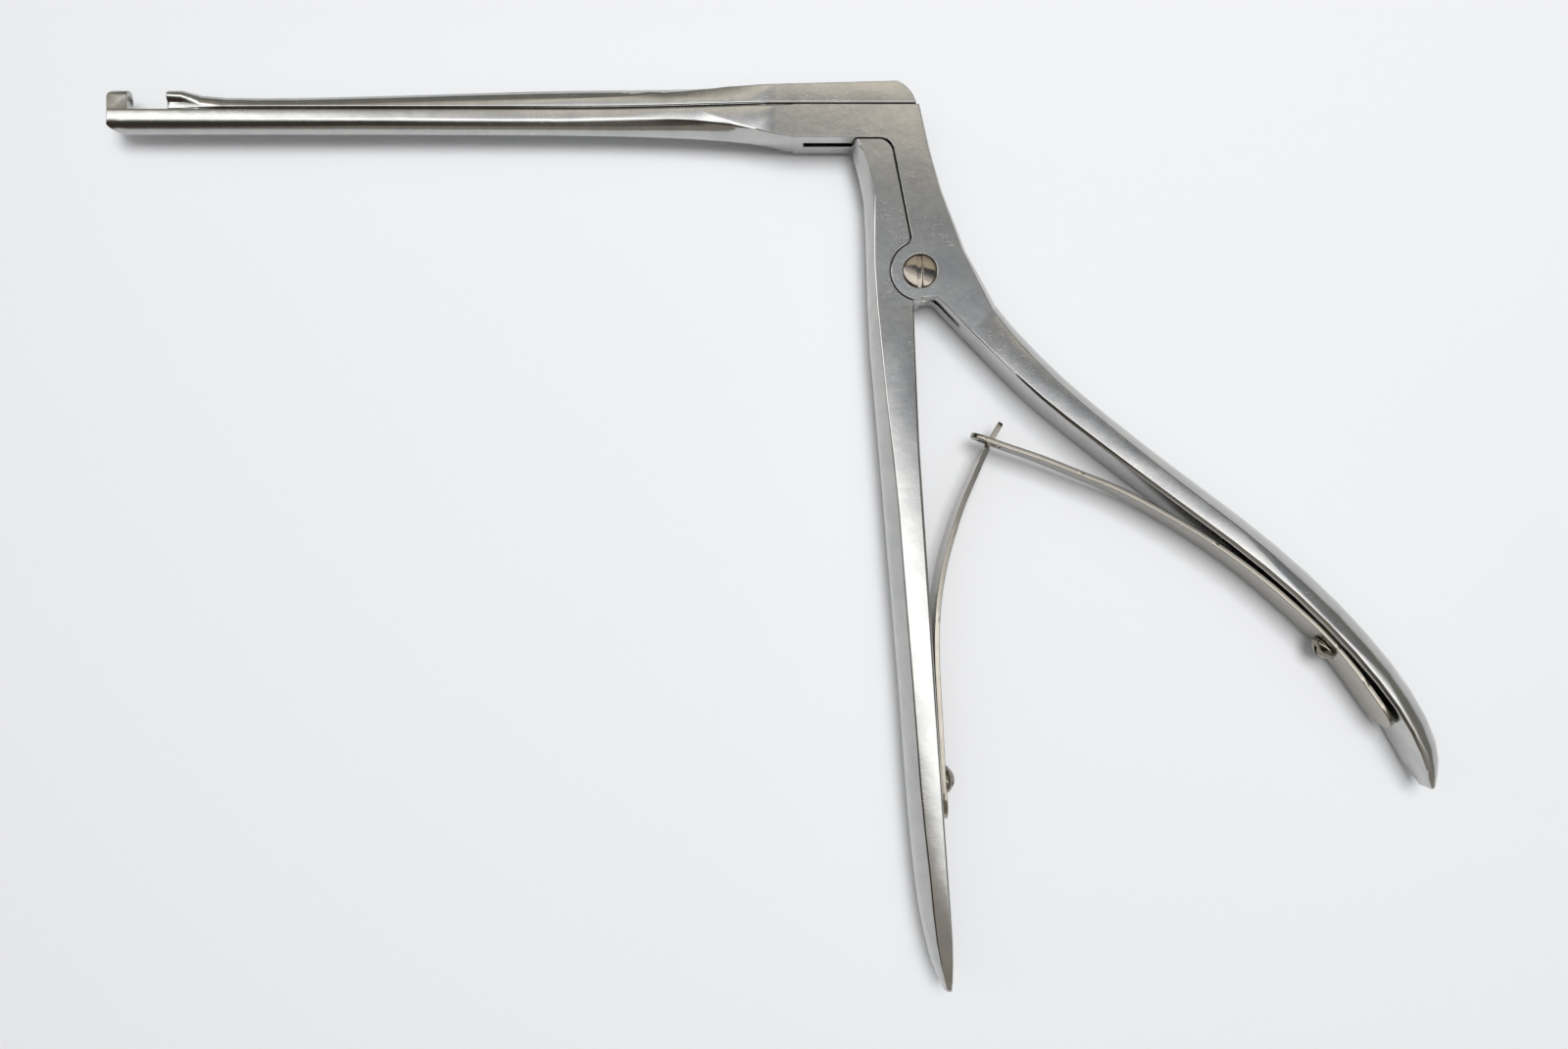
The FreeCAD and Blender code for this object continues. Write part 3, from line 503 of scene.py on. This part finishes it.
def ringEdges(skin, points):
    verts = [skin.verts.new((x * mm, 0, z * mm)) for x, z in points]
    return [skin.edges.new((verts[i - 1], verts[i])) for i in range(len(verts))]


def circlePoints(x, z, radius, first, last, count):
    angles = [first + (last - first) * i / count for i in range(count + 1)]
    return [(x + radius * math.cos(a), z + radius * math.sin(a)) for a in angles]


def makeLeaf(name, nodeName, shape):
    points = shape["points"]
    runs = [0.0]
    for a, b in zip(points, points[1:]):
        runs.append(runs[-1] + math.dist(a[:2], b[:2]))
    path = bpy.data.curves.new(name + "Path", "CURVE")
    path.dimensions = "3D"
    path.resolution_u = 16
    spline = path.splines.new("BEZIER")
    firstRun = Vector(points[1][:2]) - Vector(points[0][:2])
    lastRun = Vector(points[-1][:2]) - Vector(points[-2][:2])
    before = Vector(points[0][:2]) - firstRun.normalized() * shape["roundStart"]
    after = Vector(points[-1][:2]) + lastRun.normalized() * shape["roundEnd"]
    bends = [before] + [Vector(p[:2]) for i, p in enumerate(points) if i != shape["shoulder"]] + [after]
    spline.bezier_points.add(len(bends) - 1)
    for knot, spot in zip(spline.bezier_points, bends):
        knot.co = at(spot.x, spot.y)
        knot.handle_left_type = knot.handle_right_type = "AUTO"
    pathObject = bpy.data.objects.new(name + "Path", path)
    scene.collection.objects.link(pathObject)

    skin = bmesh.new()
    upper = [(run, p[2] / 2) for run, p in zip(runs, points)]
    outline = list(upper[1:-1])
    outline += circlePoints(runs[-1], 0, points[-1][2] / 2, math.pi / 2, -math.pi / 2, 20)
    outline += [(run, -half) for run, half in reversed(upper[1:-1])]
    outline += circlePoints(runs[0], 0, points[0][2] / 2, -math.pi / 2, -math.pi * 1.5, 16)
    edges = ringEdges(skin, outline)
    hole = circlePoints(runs[shape["hole"]], 0, shape["holeRadius"], 0, 2 * math.pi, 32)
    edges += ringEdges(skin, hole[:-1])
    if shape["window"]:
        middle, reach, half = shape["window"]
        edges += ringEdges(skin, [(middle - reach, -half), (middle + reach, -half),
                                  (middle + reach, half), (middle - reach, half)])
    bmesh.ops.triangle_fill(skin, use_beauty=True, use_dissolve=False, edges=edges, normal=(0, 1, 0))
    bmesh.ops.dissolve_limit(skin, angle_limit=math.radians(leafStrip["flatAngle"]),
                             verts=skin.verts, edges=skin.edges)
    cut = 0.0
    while cut < runs[-1]:
        cut += leafStrip["step"]
        everything = skin.verts[:] + skin.edges[:] + skin.faces[:]
        bmesh.ops.bisect_plane(skin, geom=everything, plane_co=(cut * mm, 0, 0), plane_no=(1, 0, 0))
    raised = bmesh.ops.extrude_face_region(skin, geom=skin.faces[:])
    thick = leafStrip["thickness"] * mm
    upperSide = [v for v in raised["geom"] if isinstance(v, bmesh.types.BMVert)]
    bmesh.ops.translate(skin, vec=(0, thick, 0), verts=upperSide)
    bmesh.ops.translate(skin, vec=(0, -thick / 2, 0), verts=skin.verts)
    bmesh.ops.recalc_face_normals(skin, faces=skin.faces)
    for face in skin.faces:
        face.smooth = True
    mesh = bpy.data.meshes.new(name)
    skin.to_mesh(mesh)
    skin.free()
    piece = linkPiece(name, mesh, springSteel)
    runTree(piece, bendTree, {
        "Path": pathObject, "Start": -shape["roundStart"] * mm, "Material": springSteel})
    bevel = piece.modifiers.new("roundedEdges", "BEVEL")
    bevel.width = leafStrip["edgeRadius"] * mm
    bevel.segments = 2
    bevel.angle_limit = math.radians(leafStrip["edgeAngle"])
    bevel.use_clamp_overlap = False
    even = piece.modifiers.new("evenNormals", "WEIGHTED_NORMAL")
    even.weight = bodies["flatWeight"]
    finishPiece(piece, name)
    bpy.data.objects.remove(pathObject)
    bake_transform(piece)
    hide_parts(nodeName)


makeLeaf("frontLeaf", "front_leaf_spring", frontLeaf)
makeLeaf("rearLeaf", "rear_leaf_spring", rearLeaf)
print("leaf springs made")

# Screws: sizes in mm, the middle of the head's top and the way it faces, and the turn of its slot
springScrew = {
    "bevel": 0.12, "Radius": 2.35, "Rim": 0.65, "Dome": 1.25, "Slot Width": 0.6, "Slot Depth": 0.7,
    "Shank Radius": 1.3, "Shank Length": 4.2,
}
screws = {
    "pivotScrew": {"node": "pivot_screw", "body": "frame", "top": (0, 0, 4.8), "facing": (0, 0, 1),
                   "turn": 2.0, "bevel": 0.06, "Radius": 2.9, "Rim": 1.35, "Dome": 0.3, "Slot Width": 0.85,
                   "Slot Depth": 0.9, "Shank Radius": 2.0, "Shank Length": 6.0},
    "frontSpringScrew": {**springScrew, "node": "front_spring_screw", "body": "front_handle",
                         "top": (6.58, -88.89, 0), "facing": (0.9976, 0.0699, 0), "turn": 25.0},
    "rearSpringScrew": {**springScrew, "node": "rear_spring_screw", "body": "frame",
                        "top": (70.69, -66.89, 0), "facing": (-0.7367, -0.6762, 0), "turn": 60.0},
}
screwEdgeAngle = math.radians(50)


def makeScrew(name, values):
    piece = linkPiece(name, bpy.data.meshes.new(name), polishedSteel)
    sizes = {key: value for key, value in values.items() if key[0].isupper()}
    runTree(piece, screwTree, {**sizes, "Material": polishedSteel})
    bevel = piece.modifiers.new("roundedEdges", "BEVEL")
    bevel.width = values["bevel"]
    bevel.segments = 2
    bevel.angle_limit = screwEdgeAngle
    finishPiece(piece, name)
    piece.data.shade_smooth()
    piece.data.set_sharp_from_angle(angle=screwEdgeAngle)
    facing = Vector(values["facing"]).to_track_quat("Z", "Y").to_matrix().to_4x4()
    turn = Matrix.Rotation(math.radians(values["turn"]), 4, "Z")
    piece.data.transform(Matrix.Translation(at(*values["top"])) @ facing @ turn @ Matrix.Scale(mm, 4))
    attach(piece, values["body"])
    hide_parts(values["node"])


for name, values in screws.items():
    makeScrew(name, values)
print("screws made")

scene.view_settings.view_transform = "Standard"
